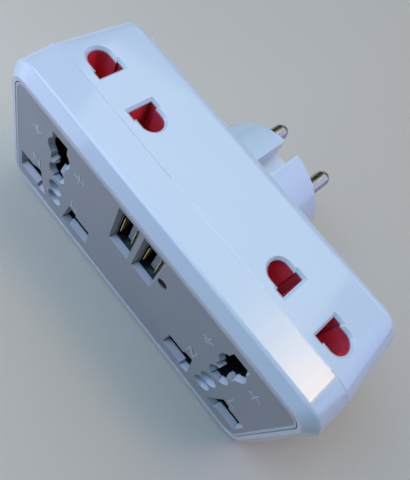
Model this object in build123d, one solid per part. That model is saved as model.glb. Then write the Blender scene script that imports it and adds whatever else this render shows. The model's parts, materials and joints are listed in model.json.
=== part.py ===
from build123d import *
import os
from math import atan2, cos, degrees, radians, sin

os.makedirs("parts", exist_ok=True)

# Multi socket adapter: a long white housing with two universal sockets and two charging ports in
# its front panel, two two-pin sockets in its top, and a round two-pin plug on its back.
# Millimetres. +X runs along the housing, -Y is the front, +Z is up. The finished pieces have their
# origin on the surface that the adapter rests on, midway between the front rim and the tips of the
# plug's pins. Until then each depth is counted from the front rim.

# Housing outline, the widest section being the parting line between the two shells
HALF_LENGTH = 52.6
HEIGHT = 49.5
CORNER_R = 8.0
DEPTH = 34.0
PARTING_Y = 10.9
END_DRAFT_REAR = 1.6
TOP_DRAFT_REAR = 0.8
END_DRAFT_FRONT = 0.3
TOP_DRAFT_FRONT = 0.6
BACK_EDGE_R = 3.2
WALL = 2.2
TOP_WALL = 2.0
PARTING_EASE = 0.1
SOLE_TRIM = 0.02

# Front bevel and the narrow rim that frames the panel
BEVEL_DEPTH = 2.4
BEVEL_INSET = 3.3
BEVEL_EDGE_R = 1.2
RIM_R = 5.0
RIM_WIDTH = 1.05
LEDGE_WIDTH = 1.4
LEDGE_T = 1.4

# Lap joint between the shells
LAP = 1.6
LAP_INSET = 1.2
LAP_GAP = 0.1

# Front panel
PANEL_RECESS = 0.1
PANEL_T = 1.6
PANEL_GAP = 0.22

# Universal socket: places are counted from the middle of its live and neutral line
SOCKET_FROM_END = 21.2
SOCKET_DROP = 11.35
EARTH_RISE = 22.2
FUNNEL_DEPTH = 1.3
FUNNEL_SIDE = 0.5
FUNNEL_END = 1.5
WIDE_PIN_X = 10.9
WIDE_PIN_W = 6.4
WIDE_PIN_H = 4.4
ROUND_PIN_PITCH = 19.0
BLADE_X = 6.6
BLADE_W = 2.0
BLADE_H = 7.0
BLADE_LEAN = 12.0
EARTH_W = 4.4
EARTH_H = 8.6
EARTH_ROUND_R = 3.65
EARTH_BLADE_W = 2.1
EARTH_BLADE_LOW = 10.2
MID_EARTH_RISE = 13.2
MID_EARTH_R = 2.55
SMALL_EARTH_R = 2.05
SMALL_EARTH_RISE = 5.4
POCKET_GAP = 0.25

# Two-pin sockets in the top: facing pairs of slots, each a bar with a round-ended tongue
SLOT_Y = 17.1
SLOT_FLAT = 5.1
SLOT_BAR_T = 2.2
SLOT_BAR_W = 6.8
SLOT_TONGUE_R = 2.9
SLOT_LEAD = 0.7

# Pin guides and contact carriers behind the walls
GUIDE_WALL = 0.7
GUIDE_RISE = 1.4
GUIDE_GAP = 0.08
GUIDE_FLANGE_T = 1.6
GUIDE_FLANGE_SIDE = 13.6
CARRIER_GAP = 0.1
CARRIER_BACK = 23.2
CARRIER_HALF = 15.0
CARRIER_SIDE_GAP = 0.25
CARRIER_RISE = 11.6
CARRIER_STEM_HALF = 4.3
CARRIER_STEM_DROP = 3.7
POCKET_BACK = 21.6
SMALL_POCKET_BACK = 14.0

# Contact springs and strips, folded from brass sheet
CLIP_T = 0.5
CLIP_PINCH = 1.75
CLIP_MOUTH = 2.5
CLIP_BELLY = 2.1
CLIP_PINCH_AT = 0.28
CLIP_BELLY_AT = 0.75
CLIP_FRONT = 12.6
CLIP_ROOM = 0.4
LINE_CLIP_W = 7.0
EARTH_CLIP_H = 7.4
TONGUE_W = 3.0
TONGUE_H = 2.4
STRIP_T = 0.8
STRIP_W = 4.0
STRIP_SPACE = 1.2
LIVE_STRIP_RISE = 7.1
NEUTRAL_STRIP_RISE = 2.5
EARTH_STRIP_DROP = 1.8
TOP_CLIP_H = 11.5
TOP_CLIP_W = 4.6
TOP_CLIP_GAP = 0.25

# Plug: round body with a notch above and below, and two round pins
PLUG_R = 18.5
PLUG_LENGTH = 14.6
PLUG_WALL = 2.2
PLUG_FACE_T = 2.6
PLUG_EDGE = 0.7
NOTCH_W = 4.8
NOTCH_DEPTH = 6.5
PIN_R = 2.4
PIN_LENGTH = 19.0
PIN_NOSE_L = 1.8
PIN_NOSE_IN = 0.8
PIN_TIP_EDGE = 0.5
PIN_ROOT_R = 2.6
PIN_GAP = 0.03
PIN_COLLAR_R = 3.8
PIN_COLLAR_T = 1.6
PIN_TAIL_R = 1.9
RETAINER_T = 3.0
RETAINER_GAP = 0.2

# Charging ports, board and indicator in the middle of the panel
PORT_X = (-7.0, 1.65)
PORT_DROP = 14.4
WINDOW_W = 7.1
WINDOW_H = 16.2
SHELL_W = 5.7
SHELL_H = 13.1
SHELL_T = 0.3
SHELL_GAP = 0.1
LATCH_W = 1.8
LATCH_L = 2.6
LATCH_Z = 2.6
PORT_TONGUE_T = 1.84
PORT_TONGUE_L = 11.1
PORT_TONGUE_SHIFT = 0.65
PORT_TONGUE_FRONT = 3.0
PORT_BODY_FRONT = 10.4
PORT_FIT = 0.05
CONTACTS = 4
CONTACT_PITCH = 2.3
CONTACT_W = 1.0
CONTACT_T = 0.15
CONTACT_SETBACK = 0.6
LED_X = 7.3
LED_DROP = 14.8
LED_R = 1.45
LED_GAP = 0.08
LED_RECESS = 0.2
LED_EDGE = 0.5
LED_FOOT_R = 1.8
LED_FOOT_T = 1.1
LED_LEG = 0.5
LED_LEG_PITCH = 1.8
BOARD_Y = 15.6
BOARD_T = 1.6
BOARD_HALF = 10.2
BOARD_END_GAP = 2.4
CORE_W = 12.0
CORE_H = 11.0
CORE_DEPTH = 9.0
CORE_LIMB = 2.2
CORE_X = -4.0
CAN_R = 2.9
CAN_H = 9.6
CAN_EDGE = 0.4
CAN_X = 6.9
BOARD_MARGIN = 1.2

# Case screws, driven from the back into posts in the front shell
SCREW_X = 13.2
SCREW_FROM_EDGE = 6.6
SCREW_R = 1.2
SCREW_GAP = 0.05
SCREW_HEAD_R = 2.1
SCREW_HEAD_T = 1.5
SCREW_EDGE = 0.4
SCREW_SEAT = 2.6
SCREW_TIP_Y = 6.0
CROSS_L = 2.6
CROSS_W = 0.6
CROSS_DEPTH = 0.75
POST_HALF = 2.8
POST_WEB_T = 2.0
POST_MEET_Y = 19.0
PILLAR_HALF = 1.5
PILLAR_GAP = 0.3

# Worked out from the sizes above
MID_Z = HEIGHT / 2
RIM_HALF = HALF_LENGTH - BEVEL_INSET
RIM_LOW = BEVEL_INSET
RIM_TOP = HEIGHT - BEVEL_INSET
LEDGE_Y = PANEL_RECESS + PANEL_T
CAVITY_FRONT = LEDGE_Y + LEDGE_T
CAVITY_BACK = DEPTH - WALL
CAVITY_TOP = HEIGHT - TOP_DRAFT_REAR - TOP_WALL
CAVITY_R = CORNER_R - WALL
SOCKET_X = HALF_LENGTH - SOCKET_FROM_END
SOCKET_Z = MID_Z - SOCKET_DROP
EARTH_Z = SOCKET_Z + EARTH_RISE
CARRIER_FRONT = LEDGE_Y + CARRIER_GAP
CARRIER_LOW = BEVEL_INSET + RIM_WIDTH + LEDGE_WIDTH + CARRIER_SIDE_GAP
CARRIER_TOP = SOCKET_Z + CARRIER_RISE
CARRIER_STEM_TOP = CAVITY_TOP - CARRIER_STEM_DROP
LIVE_STRIP_Z = SOCKET_Z + LIVE_STRIP_RISE
NEUTRAL_STRIP_Z = SOCKET_Z + NEUTRAL_STRIP_RISE
EARTH_STRIP_Z = EARTH_Z - EARTH_STRIP_DROP
PORT_Z = HEIGHT - PORT_DROP
LED_Z = HEIGHT - LED_DROP
BOARD_LOW = WALL + BOARD_END_GAP
BOARD_TOP = CAVITY_TOP - BOARD_END_GAP
CORE_Z = BOARD_LOW + BOARD_MARGIN + CORE_H / 2
CAN_ZS = (BOARD_LOW + BOARD_MARGIN + CAN_R, BOARD_LOW + 2 * BOARD_MARGIN + 3 * CAN_R)
SCREW_ZS = (SCREW_FROM_EDGE, HEIGHT - SCREW_FROM_EDGE)
PLUG_END = DEPTH + PLUG_LENGTH
PIN_TIP = PLUG_END + PIN_LENGTH
ORIGIN_Y = PIN_TIP / 2
NEUTRAL_STRIP_Y = CARRIER_BACK + STRIP_T + STRIP_SPACE
PIN_X = ROUND_PIN_PITCH / 2
SHELL_MOUTH = PANEL_RECESS + FUNNEL_DEPTH
LED_FOOT_Y = LEDGE_Y + PANEL_GAP
LED_BACK = LED_FOOT_Y + LED_FOOT_T
SIDES = {"left": -1, "right": 1}

# How far a cutter runs past the surface that it opens, and how near an edge must lie to a section
THROUGH = 1.0
NEAR = 0.01


def at_y(y):
    """Sketch plane across the housing at a depth y: sketch x is X and sketch y is Z."""
    return Plane(origin=(0, y, 0), x_dir=(1, 0, 0), z_dir=(0, -1, 0))


def block(x0, x1, y0, y1, z0, z1):
    """Rectangular solid between two corners."""
    middle = ((x0 + x1) / 2, (y0 + y1) / 2, (z0 + z1) / 2)
    return Pos(*middle) * Box(x1 - x0, y1 - y0, z1 - z0)


def rod(x, z, radius, y0, y1):
    """Round solid along Y."""
    return extrude(at_y(y1) * Pos(x, z) * Circle(radius), y1 - y0)


def square_rod(x, z, half, y0, y1):
    """Square solid along Y."""
    return block(x - half, x + half, y0, y1, z - half, z + half)


def prism(shape, y0, y1):
    """A sketch drawn in X and Z, swept from y0 to y1."""
    return extrude(at_y(y1) * shape, y1 - y0)


def half_length_at(y):
    """Half the housing's length at a depth: the shells taper both ways from the parting line."""
    if y <= PARTING_Y:
        share = (PARTING_Y - y) / (PARTING_Y - BEVEL_DEPTH)
        return HALF_LENGTH - END_DRAFT_FRONT * share
    return HALF_LENGTH - END_DRAFT_REAR * (y - PARTING_Y) / (DEPTH - PARTING_Y)


def top_at(y):
    """Height of the top face at a depth."""
    if y <= PARTING_Y:
        share = (PARTING_Y - y) / (PARTING_Y - BEVEL_DEPTH)
        return HEIGHT - TOP_DRAFT_FRONT * share
    return HEIGHT - TOP_DRAFT_REAR * (y - PARTING_Y) / (DEPTH - PARTING_Y)


def frame_face(y, half, low, top, radius):
    """Rounded rectangle across the housing, as a face at depth y."""
    return at_y(y) * Pos(0, (low + top) / 2) * RectangleRounded(2 * half, top - low, radius)


def outer_face(y, inset=0.0):
    """The housing's own section at depth y, or one set in from it all round."""
    return frame_face(y, half_length_at(y) - inset, inset - SOLE_TRIM, top_at(y) - inset, CORNER_R - inset)


def under_floor():
    """Everything below the surface that the adapter rests on."""
    reach = HALF_LENGTH + THROUGH
    return block(-reach, reach, -THROUGH, DEPTH + THROUGH, -THROUGH, 0)


def cavity_face(y):
    """The room inside the walls at depth y, with a level ceiling."""
    return frame_face(y, half_length_at(y) - WALL, WALL, CAVITY_TOP, CAVITY_R)


def edges_at(solid, y):
    """The edges of a solid that lie across the housing at depth y."""
    return solid.edges().filter_by_position(Axis.Y, y - NEAR, y + NEAR)


def leaning(shape, x, z, lean):
    """A sketch turned by lean degrees and set at (x, z)."""
    return Pos(x, z) * Rot(0, 0, lean) * shape


def pin_shapes(side, extra_w=0.0, extra_h=0.0):
    """The shapes that make up one line hole, from the socket's middle. side is -1 or 1."""
    wide = Pos(side * WIDE_PIN_X, 0) * Rectangle(WIDE_PIN_W + 2 * extra_w, WIDE_PIN_H + 2 * extra_h)
    blade = Rectangle(BLADE_W + 2 * extra_w, BLADE_H + 2 * extra_h)
    leaned = leaning(blade, side * BLADE_X, 0, -side * BLADE_LEAN)
    neck = Pos(side * (BLADE_X + WIDE_PIN_X) / 2, 0)
    neck = neck * Rectangle(WIDE_PIN_X - BLADE_X, WIDE_PIN_H + 2 * extra_h)
    return [wide, leaned, neck]


def earth_shapes(extra_w=0.0, extra_h=0.0):
    """The shapes that make up the earth hole, from the middle of the line holes."""
    slot = Pos(0, EARTH_RISE) * Rectangle(EARTH_W + 2 * extra_w, EARTH_H + 2 * extra_h)
    big = Pos(0, EARTH_RISE) * Circle(EARTH_ROUND_R + extra_w)
    blade_high = EARTH_RISE - EARTH_BLADE_LOW
    blade = Pos(0, EARTH_BLADE_LOW + blade_high / 2)
    blade = blade * Rectangle(EARTH_BLADE_W + extra_w, blade_high)
    middle = Pos(0, MID_EARTH_RISE) * Circle(MID_EARTH_R + extra_w)
    return [slot, big, blade, middle]


def small_earth_shapes(extra=0.0):
    """The two small round holes between the line holes."""
    return [Pos(0, rise) * Circle(SMALL_EARTH_R + extra) for rise in (0.0, SMALL_EARTH_RISE)]


def socket_holes():
    """Every shape of one universal socket at its inner size."""
    return pin_shapes(-1) + pin_shapes(1) + earth_shapes() + small_earth_shapes()


def socket_cutter(x):
    """What is cut from the panel for one socket: sloped funnels in front, straight walls behind."""
    outer = pin_shapes(-1, FUNNEL_SIDE, FUNNEL_END) + pin_shapes(1, FUNNEL_SIDE, FUNNEL_END)
    outer += earth_shapes(FUNNEL_SIDE, FUNNEL_END) + small_earth_shapes(FUNNEL_SIDE)
    face_y = PANEL_RECESS
    cutters = []
    for wide, narrow in zip(outer, socket_holes()):
        place = Pos(x, SOCKET_Z)
        funnel = loft([at_y(face_y) * place * wide, at_y(face_y + FUNNEL_DEPTH) * place * narrow])
        mouth = prism(place * wide, face_y - THROUGH, face_y)
        shaft = prism(place * narrow, face_y + FUNNEL_DEPTH, LEDGE_Y + THROUGH)
        cutters += [funnel, mouth, shaft]
    return cutters


def slot_shapes(side, grow=0.0):
    """The bar, tongue and round end of one two-pin slot, from the middle of its pair."""
    bar = Pos(side * (SLOT_FLAT + SLOT_BAR_T / 2), 0)
    bar = bar * Rectangle(SLOT_BAR_T + 2 * grow, SLOT_BAR_W + 2 * grow)
    tongue = Pos(side * (SLOT_FLAT + PIN_X) / 2, 0)
    tongue = tongue * Rectangle(PIN_X - SLOT_FLAT + 2 * grow, 2 * (SLOT_TONGUE_R + grow))
    end = Pos(side * PIN_X, 0) * Circle(SLOT_TONGUE_R + grow)
    return [bar, tongue, end]


def slot_shape(side, grow=0.0):
    """One two-pin slot seen from above, as one outline. side is -1 or 1."""
    bar, tongue, end = slot_shapes(side, grow)
    return bar + tongue + end


def slot_cutter(x, side):
    """What is cut from the top wall for one slot, with a sloped lip along the sloping top face."""
    slope = -degrees(atan2(TOP_DRAFT_REAR, DEPTH - PARTING_Y))
    top_plane = Plane(origin=(x, SLOT_Y, top_at(SLOT_Y)), x_dir=(1, 0, 0),
                      z_dir=(0, -sin(radians(slope)), cos(radians(slope))))
    shaft = extrude(Pos(x, SLOT_Y, CAVITY_TOP - THROUGH) * slot_shape(side), HEIGHT)
    seat = extrude(Pos(x, SLOT_Y, CAVITY_TOP - THROUGH) * slot_shape(side, GUIDE_WALL + GUIDE_GAP),
                   THROUGH + GUIDE_RISE + GUIDE_GAP)
    lips = [loft([top_plane.offset(-SLOT_LEAD) * narrow, top_plane.offset(SLOT_LEAD) * wide])
            for narrow, wide in zip(slot_shapes(side), slot_shapes(side, 2 * SLOT_LEAD))]
    return [shaft, seat, *lips]


def plug_notches(y0, y1, grow=0.0):
    """The two notches along the plug's body, above and below."""
    reach = PLUG_R - NOTCH_DEPTH - grow
    cuts = []
    for up in (1, -1):
        z0, z1 = sorted((MID_Z + up * reach, MID_Z + up * (PLUG_R + THROUGH)))
        cuts.append(block(-NOTCH_W / 2 - grow, NOTCH_W / 2 + grow, y0, y1, z0, z1))
    return cuts


def make_front_cover():
    """Front shell: a bevelled frame with a rim and ledge for the panel, a lap lip and four posts."""
    rim = frame_face(0, RIM_HALF, RIM_LOW, RIM_TOP, RIM_R)
    shell = loft([rim, outer_face(BEVEL_DEPTH), outer_face(PARTING_Y - PARTING_EASE),
                  outer_face(PARTING_Y, PARTING_EASE)], ruled=True)
    shell = fillet(edges_at(shell, BEVEL_DEPTH), BEVEL_EDGE_R) - under_floor()
    lip = prism(lap_shape(LAP_INSET), PARTING_Y - THROUGH, PARTING_Y + LAP - LAP_GAP)
    shell = shell + lip
    opening = frame_face(LEDGE_Y, RIM_HALF - RIM_WIDTH, RIM_LOW + RIM_WIDTH, RIM_TOP - RIM_WIDTH,
                         RIM_R - RIM_WIDTH)
    window = extrude(ledge_window(CAVITY_FRONT), CAVITY_FRONT)
    shell = shell - extrude(opening, LEDGE_Y + THROUGH) - window
    cavity = loft([cavity_face(CAVITY_FRONT), cavity_face(PARTING_Y)], ruled=True)
    shell = shell - cavity - prism(lap_room(), PARTING_Y, PARTING_Y + LAP + THROUGH)
    for x in (-SCREW_X, SCREW_X):
        for z in SCREW_ZS:
            shell = shell + post_with_web(x, z, LEDGE_Y, POST_MEET_Y)
            shell = shell - rod(x, z, SCREW_R + SCREW_GAP, SCREW_TIP_Y - THROUGH, POST_MEET_Y + THROUGH)
    return shell


def ledge_window(y, gap=0.0):
    """The opening inside the panel's ledge, as a face at depth y, or one set in from it."""
    inner = RIM_WIDTH + LEDGE_WIDTH + gap
    return frame_face(y, RIM_HALF - inner, RIM_LOW + inner, RIM_TOP - inner, RIM_R - RIM_WIDTH)


def lap_shape(inset):
    """Outline of the lap lip, set in from the housing's widest section."""
    return Pos(0, MID_Z) * RectangleRounded(2 * (HALF_LENGTH - inset), HEIGHT - 2 * inset,
                                            CORNER_R - inset)


def lap_room():
    """Inner outline of the lap lip: the cavity's own section at the parting line."""
    return Pos(0, (WALL + CAVITY_TOP) / 2) * RectangleRounded(
        2 * (HALF_LENGTH - WALL), CAVITY_TOP - WALL, CAVITY_R)


def post_with_web(x, z, y0, y1):
    """Screw post along Y with a web that ties it to the nearer long wall, as far as the lap lip."""
    post = square_rod(x, z, POST_HALF, y0, y1)
    wall_z = WALL - THROUGH / 2 if z < MID_Z else CAVITY_TOP + THROUGH / 2
    z0, z1 = sorted((z, wall_z))
    web_back = min(y1, PARTING_Y)
    return post + block(x - POST_WEB_T / 2, x + POST_WEB_T / 2, y0, web_back, z0, z1)


def make_rear_case():
    """Rear shell with the plug's body moulded on: slots above, pillars and screw sleeves inside."""
    shell = loft([outer_face(PARTING_Y, PARTING_EASE), outer_face(PARTING_Y + PARTING_EASE),
                  outer_face(DEPTH)], ruled=True)
    shell = fillet(edges_at(shell, DEPTH), BACK_EDGE_R) - under_floor()
    plug = rod(0, MID_Z, PLUG_R, DEPTH - WALL, PLUG_END)
    plug = chamfer(edges_at(plug, PLUG_END), PLUG_EDGE)
    shell = shell + plug
    for cut in plug_notches(DEPTH, PLUG_END + THROUGH):
        shell = shell - cut
    shell = shell - loft([cavity_face(PARTING_Y), cavity_face(CAVITY_BACK)], ruled=True)
    shell = shell - prism(lap_shape(LAP_INSET - LAP_GAP), PARTING_Y - THROUGH, PARTING_Y + LAP)
    hollow = rod(0, MID_Z, PLUG_R - PLUG_WALL, CAVITY_BACK - THROUGH, PLUG_END - PLUG_FACE_T)
    for notch in plug_notches(CAVITY_BACK - 2 * THROUGH, PLUG_END, PLUG_WALL):
        hollow = hollow - notch
    shell = shell - hollow
    for x in (-PIN_X, PIN_X):
        shell = shell - rod(x, MID_Z, PIN_ROOT_R + PIN_GAP, CAVITY_BACK, PLUG_END + THROUGH)
    for x in (-SOCKET_X, SOCKET_X):
        for side in (-1, 1):
            for cut in slot_cutter(x, side):
                shell = shell - cut
    for x, z, y0 in pillar_places():
        shell = shell + square_rod(x, z, PILLAR_HALF, y0, CAVITY_BACK + THROUGH)
    for x in (-SCREW_X, SCREW_X):
        for z in SCREW_ZS:
            shell = shell + square_rod(x, z, POST_HALF, POST_MEET_Y, CAVITY_BACK + THROUGH)
            shell = shell - rod(x, z, SCREW_R + SCREW_GAP, POST_MEET_Y - THROUGH, DEPTH)
            shell = shell - rod(x, z, SCREW_HEAD_R + SCREW_GAP, DEPTH - SCREW_SEAT, DEPTH + THROUGH)
    return shell


def pillar_places():
    """Pillars on the back wall: (x, z, front end). They press on the carriers and the board."""
    places = []
    for x in (-SOCKET_X, SOCKET_X):
        for dx in (-1, 1):
            places.append((x + dx * (CARRIER_HALF - PILLAR_HALF), CARRIER_LOW + PILLAR_HALF, CARRIER_BACK))
        places.append((x, EARTH_STRIP_Z - STRIP_W / 2 - PILLAR_GAP - PILLAR_HALF, CARRIER_BACK))
    for x in (PILLAR_HALF - BOARD_HALF, BOARD_HALF - PILLAR_HALF):
        for z in (BOARD_LOW + PILLAR_HALF, BOARD_TOP - PILLAR_HALF):
            places.append((x, z, BOARD_Y + BOARD_T))
    return places


def make_front_panel():
    """Grey panel with the two sockets, the port windows and the indicator hole."""
    edge = RIM_WIDTH + PANEL_GAP
    plate = frame_face(LEDGE_Y, RIM_HALF - edge, RIM_LOW + edge, RIM_TOP - edge, RIM_R - edge)
    panel = extrude(plate, PANEL_T)
    for x in (-SOCKET_X, SOCKET_X):
        for cut in socket_cutter(x):
            panel = panel - cut
    for x in PORT_X:
        wide = Pos(x, PORT_Z) * Rectangle(WINDOW_W, WINDOW_H)
        narrow = Pos(x, PORT_Z) * Rectangle(SHELL_W + 2 * SHELL_GAP, SHELL_H + 2 * SHELL_GAP)
        panel = panel - loft([at_y(PANEL_RECESS) * wide, at_y(PANEL_RECESS + FUNNEL_DEPTH) * narrow])
        panel = panel - prism(narrow, PANEL_RECESS + FUNNEL_DEPTH, LEDGE_Y + THROUGH)
    panel = panel - rod(LED_X, LED_Z, LED_R + LED_GAP, 0, LEDGE_Y + THROUGH)
    return panel


def make_pin_guide(x):
    """Red moulding under the top wall: a flange, and two wells whose rims rise into the slots."""
    back = SLOT_Y + SLOT_BAR_W / 2 + 2 * GUIDE_WALL
    flange = block(x - GUIDE_FLANGE_SIDE, x + GUIDE_FLANGE_SIDE, 2 * SLOT_Y - back, back,
                   CAVITY_TOP - GUIDE_FLANGE_T, CAVITY_TOP)
    room = frame_face(back, half_length_at(back) - WALL - PANEL_GAP, WALL, CAVITY_TOP, CAVITY_R)
    guide = flange & extrude(room, back)
    height = CAVITY_TOP + GUIDE_RISE - CARRIER_TOP
    for side in (-1, 1):
        guide = guide + extrude(Pos(x, SLOT_Y, CARRIER_TOP) * slot_shape(side, GUIDE_WALL), height)
    tail_half = TONGUE_W / 2 + POCKET_GAP
    for side in (-1, 1):
        well = extrude(Pos(x, SLOT_Y, CARRIER_TOP - THROUGH) * slot_shape(side), height + 2 * THROUGH)
        tail_x = x + side * PIN_X
        guide = guide - well - block(tail_x - tail_half, tail_x + tail_half, SLOT_Y, CARRIER_BACK,
                                     CARRIER_TOP - THROUGH, CARRIER_TOP + CLIP_T + POCKET_GAP)
    return guide


def make_contact_carrier(x):
    """Dark moulding behind one universal socket, with pockets for its contact springs."""
    body = block(x - CARRIER_HALF, x + CARRIER_HALF, CARRIER_FRONT, CARRIER_BACK,
                 CARRIER_LOW, CARRIER_TOP)
    body = body + block(x - CARRIER_STEM_HALF, x + CARRIER_STEM_HALF, CARRIER_FRONT, CARRIER_BACK,
                        CARRIER_LOW, CARRIER_STEM_TOP)
    body = body & extrude(ledge_window(CARRIER_BACK, CARRIER_SIDE_GAP), CARRIER_BACK)
    front = CARRIER_FRONT - THROUGH
    for pocket in line_pockets(x) + earth_pockets(x):
        body = body - pocket
    small_half = SMALL_EARTH_R + POCKET_GAP
    body = body - block(x - small_half, x + small_half, front, SMALL_POCKET_BACK,
                        SOCKET_Z - small_half, SOCKET_Z + SMALL_EARTH_RISE + small_half)
    return body


def line_pockets(x):
    """Rooms behind the two line holes, as wide as both pin shapes, and the windows in their backs."""
    lean = radians(BLADE_LEAN)
    inner = BLADE_X - BLADE_W / 2 * cos(lean) - BLADE_H / 2 * sin(lean) - POCKET_GAP
    outer = WIDE_PIN_X + WIDE_PIN_W / 2 + POCKET_GAP
    half_z = BLADE_H / 2 * cos(lean) + BLADE_W / 2 * sin(lean) + POCKET_GAP
    cuts = []
    for side in (-1, 1):
        x0, x1 = sorted((x + side * inner, x + side * outer))
        cuts.append(block(x0, x1, CARRIER_FRONT - THROUGH, POCKET_BACK,
                          SOCKET_Z - half_z, SOCKET_Z + half_z))
        cuts.append(clip_room(x + side * PIN_X, SOCKET_Z, LINE_CLIP_W / 2, CLIP_MOUTH + CLIP_T / 2))
        cuts.append(clip_tongue(x + side * PIN_X, SOCKET_Z, POCKET_BACK - THROUGH, POCKET_GAP))
    return cuts


def earth_pockets(x):
    """Room behind the earth hole, open at its sides, a narrower one under it, and the back window."""
    front = CARRIER_FRONT - THROUGH
    open_half = CARRIER_STEM_HALF + THROUGH
    neck_half = MID_EARTH_R + POCKET_GAP
    low = EARTH_Z - EARTH_H / 2 - POCKET_GAP
    return [
        block(x - open_half, x + open_half, front, POCKET_BACK, low, EARTH_Z + EARTH_H / 2 + POCKET_GAP),
        block(x - neck_half, x + neck_half, front, POCKET_BACK,
              SOCKET_Z + EARTH_BLADE_LOW - POCKET_GAP, low + THROUGH),
        clip_tongue(x, EARTH_Z, POCKET_BACK - THROUGH, POCKET_GAP),
    ]


def clip_room(x, z, half_x, half_z):
    """The wider part of a pocket, where its spring stands."""
    return block(x - half_x - CLIP_ROOM, x + half_x + CLIP_ROOM, CLIP_FRONT - CLIP_ROOM, POCKET_BACK,
                 z - half_z - CLIP_ROOM, z + half_z + CLIP_ROOM)


def clip_tongue(x, z, front=POCKET_BACK, grow=0.0):
    """The tongue that joins a spring to its strip, or room for it when it is grown."""
    return block(x - TONGUE_W / 2 - grow, x + TONGUE_W / 2 + grow, front, CARRIER_BACK,
                 z - TONGUE_H / 2 - grow, z + TONGUE_H / 2 + grow)


def clip_profile(front, back):
    """Folded spring seen from its side: two leaves that pinch in front of a straight back."""
    span = back - CLIP_T / 2 - front
    points = [(front, CLIP_MOUTH), (front + CLIP_PINCH_AT * span, CLIP_PINCH),
              (front + CLIP_BELLY_AT * span, CLIP_BELLY), (front + span, CLIP_BELLY)]
    mirrored = [(u, -v) for u, v in reversed(points)]
    return trace(Polyline(*points, *mirrored), CLIP_T)


def make_line_clip(x, side):
    """Spring for one line hole: leaves above and below the pin, and a tongue to the strip."""
    profile = clip_profile(CLIP_FRONT, POCKET_BACK)
    start = x + side * PIN_X - LINE_CLIP_W / 2
    plane = Plane(origin=(start, 0, SOCKET_Z), x_dir=(0, 1, 0), z_dir=(1, 0, 0))
    clip = extrude(plane * profile, LINE_CLIP_W)
    return clip + clip_tongue(x + side * PIN_X, SOCKET_Z)


def make_earth_clip(x):
    """Spring for the earth hole: leaves left and right of the pin, and a tongue to the strip."""
    profile = clip_profile(CLIP_FRONT, POCKET_BACK)
    plane = Plane(origin=(x, 0, EARTH_Z - EARTH_CLIP_H / 2), x_dir=(0, 1, 0), z_dir=(0, 0, 1))
    return extrude(plane * profile, EARTH_CLIP_H) + clip_tongue(x, EARTH_Z)


def make_top_clip(x, side):
    """Spring in the foot of a well: leaves before and behind the pin, and a tail under the wall."""
    profile = clip_profile(-CARRIER_TOP - TOP_CLIP_H, -CARRIER_TOP)
    middle = x + side * (SLOT_FLAT + TOP_CLIP_GAP + TOP_CLIP_W / 2)
    plane = Plane(origin=(middle - TOP_CLIP_W / 2, SLOT_Y, 0), x_dir=(0, 0, -1), z_dir=(1, 0, 0))
    clip = extrude(plane * profile, TOP_CLIP_W)
    tail_x = x + side * PIN_X
    return clip + block(tail_x - TONGUE_W / 2, tail_x + TONGUE_W / 2, SLOT_Y, CARRIER_BACK,
                        CARRIER_TOP, CARRIER_TOP + CLIP_T)


def riser(x, y, z0, z1):
    """Upright arm of a strip."""
    return block(x - TONGUE_W / 2, x + TONGUE_W / 2, y, y + STRIP_T, z0, z1)


def make_live_strip():
    """Brass strip that joins the live springs of both ends, the live pin and the board."""
    y = CARRIER_BACK
    low, high = LIVE_STRIP_Z - STRIP_W / 2, LIVE_STRIP_Z + STRIP_W / 2
    ends = (-SOCKET_X + PIN_X, SOCKET_X + PIN_X)
    strip = block(ends[0] - STRIP_W / 2, ends[1] + STRIP_W / 2, y, y + STRIP_T, low, high)
    for x in ends:
        strip = strip + riser(x, y, SOCKET_Z - TONGUE_H / 2, CARRIER_TOP + CLIP_T)
    strip = strip + riser(PIN_X, y, low, MID_Z + PIN_TAIL_R)
    finger_x = PIN_X / 2
    return strip + block(finger_x - STRIP_T, finger_x + STRIP_T, BOARD_Y + BOARD_T, y, low, low + STRIP_T)


def make_neutral_strip():
    """Brass strip behind the live one, with feet that come forward past it."""
    y = NEUTRAL_STRIP_Y
    low, high = NEUTRAL_STRIP_Z - STRIP_W / 2, NEUTRAL_STRIP_Z + STRIP_W / 2
    ends = (-SOCKET_X - PIN_X, SOCKET_X - PIN_X)
    strip = block(ends[0] - STRIP_W / 2, ends[1] + STRIP_W / 2, y, y + STRIP_T, low, high)
    for x in ends:
        strip = strip + riser(x, y, SOCKET_Z - TONGUE_H / 2, CARRIER_TOP + CLIP_T)
        for z in (SOCKET_Z, CARRIER_TOP + CLIP_T / 2):
            strip = strip + block(x - TONGUE_W / 2, x + TONGUE_W / 2, CARRIER_BACK, y,
                                  z - CLIP_T / 2, z + CLIP_T / 2)
    strip = strip + riser(-PIN_X, y, low, MID_Z + PIN_TAIL_R)
    finger_x = -PIN_X / 2
    return strip + block(finger_x - STRIP_T, finger_x + STRIP_T, BOARD_Y + BOARD_T, y, low, low + STRIP_T)


def make_earth_strip():
    """Brass strip between the two earth springs."""
    reach = SOCKET_X + STRIP_W / 2
    return block(-reach, reach, CARRIER_BACK, CARRIER_BACK + STRIP_T, EARTH_STRIP_Z - STRIP_W / 2,
                 EARTH_STRIP_Z + STRIP_W / 2)


def make_plug_pin(x, tail_front):
    """Turned pin: a shank with a tapered nose, a root in the plug's face, a collar and a tail."""
    face_back = PLUG_END - PLUG_FACE_T
    shank = rod(x, MID_Z, PIN_R, face_back, PIN_TIP)
    tip = shank.faces().sort_by(Axis.Y)[-1]
    shank = chamfer(edges_at(shank, PIN_TIP), PIN_NOSE_IN, PIN_NOSE_L, reference=tip)
    shank = chamfer(edges_at(shank, PIN_TIP), PIN_TIP_EDGE)
    root = rod(x, MID_Z, PIN_ROOT_R, face_back, PLUG_END)
    collar = rod(x, MID_Z, PIN_COLLAR_R, face_back - PIN_COLLAR_T, face_back)
    return shank + root + collar + rod(x, MID_Z, PIN_TAIL_R, tail_front, face_back)


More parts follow.
